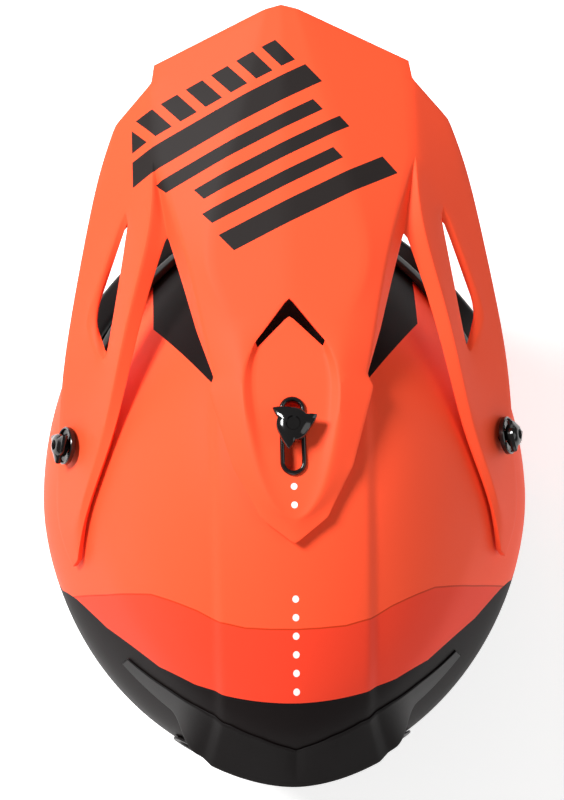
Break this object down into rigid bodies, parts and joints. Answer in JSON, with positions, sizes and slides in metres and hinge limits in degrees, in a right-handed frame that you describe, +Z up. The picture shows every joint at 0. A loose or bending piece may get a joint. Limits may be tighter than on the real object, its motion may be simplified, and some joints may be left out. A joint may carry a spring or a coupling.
{
  "type": "motocross helmet",
  "caption": "Off-road motorcycle helmet with a wide eye port, a long adjustable peak held by thumb screws, filtered vents, a padded liner and a ringed chin strap.",
  "frame": {"origin": "on the ground under the middle of the helmet's bounding box", "axes": "+Z up to the crown, -Y the way the face looks, +X to the wearer's left"},
  "size_m": [0.2482, 0.363, 0.288],
  "materials": {
    "shell": "satin orange lacquer with black graphics over a moulded shell",
    "peak": "satin orange lacquer with a dark striped graphic",
    "spoiler": "satin black",
    "foam": "expanded bead foam",
    "pads": "brushed and mesh lining cloth over soft foam",
    "plates": "plain moulded",
    "edging": "matte extruded rubber",
    "knobs": "gloss moulded",
    "inserts": "turned",
    "webbing": "woven strap",
    "buckle": "polished wire and rivets",
    "vents": "satin moulded",
    "filters": "open dust foam"
  },
  "bodies": {
    "helmet": {"base_trim": "edging", "brow_vent_left_filter": "filters", "brow_vent_left_frame": "vents", "brow_vent_right_filter": "filters", "brow_vent_right_frame": "vents", "centre_thread_insert": "inserts", "cheek_pad_left": "pads", "cheek_pad_right": "pads", "cheek_plate_left": "plates", "cheek_plate_right": "plates", "chin_liner": "foam", "chin_vent_left_filter": "filters", "chin_vent_left_frame": "vents", "chin_vent_right_filter": "filters", "chin_vent_right_frame": "vents", "crown_pad": "pads", "eye_port_gasket": "edging", "impact_liner": "foam", "mouth_vent_filter": "filters", "mouth_vent_frame": "vents", "neck_roll": "pads", "nose_guard": "edging", "outer_shell": "shell", "rear_spoiler": "spoiler", "rear_vent_left_filter": "filters", "rear_vent_left_frame": "vents", "rear_vent_right_filter": "filters", "rear_vent_right_frame": "vents", "side_left_thread_insert": "inserts", "side_right_thread_insert": "inserts", "strap_rivet_left": "buckle", "strap_rivet_right": "buckle", "strap_tab_left": "webbing", "strap_tab_right": "webbing"},
    "peak": {"peak": "peak", "peak_slot_bezel": "knobs", "side_left_washer": "edging", "side_right_washer": "edging"},
    "centre_screw": {"centre_thumb_screw": "knobs"},
    "side_left_screw": {"side_left_thumb_screw": "knobs"},
    "side_right_screw": {"side_right_thumb_screw": "knobs"},
    "chin_strap": {"strap_long": "webbing", "strap_short": "webbing", "strap_sleeve_left": "pads", "strap_sleeve_right": "pads", "d_ring_inner": "buckle", "d_ring_outer": "buckle", "strap_snap": "knobs"}
  },
  "joints": [
    {"name": "peak_tilt", "type": "hinge", "parent": "helmet", "child": "peak", "pos_m": [0, 0.0105, 0.187], "axis": [1, 0, 0], "range_deg": [-3, 10]},
    {"name": "centre_screw_turn", "type": "hinge", "parent": "helmet", "child": "centre_screw", "pos_m": [0, 0.0215, 0.263], "axis": [0, 0, 1], "continuous": true},
    {"name": "side_left_screw_turn", "type": "hinge", "parent": "helmet", "child": "side_left_screw", "pos_m": [0.10081, 0.0105, 0.187], "axis": [0.8988, 0, 0.4384], "continuous": true},
    {"name": "side_right_screw_turn", "type": "hinge", "parent": "helmet", "child": "side_right_screw", "pos_m": [-0.10081, 0.0105, 0.187], "axis": [-0.8988, 0, 0.4384], "continuous": true},
    {"name": "chin_strap_swing", "type": "hinge", "parent": "helmet", "child": "chin_strap", "pos_m": [0, 0.0455, 0.056], "axis": [1, 0, 0], "range_deg": [-25, 25]}
  ]
}
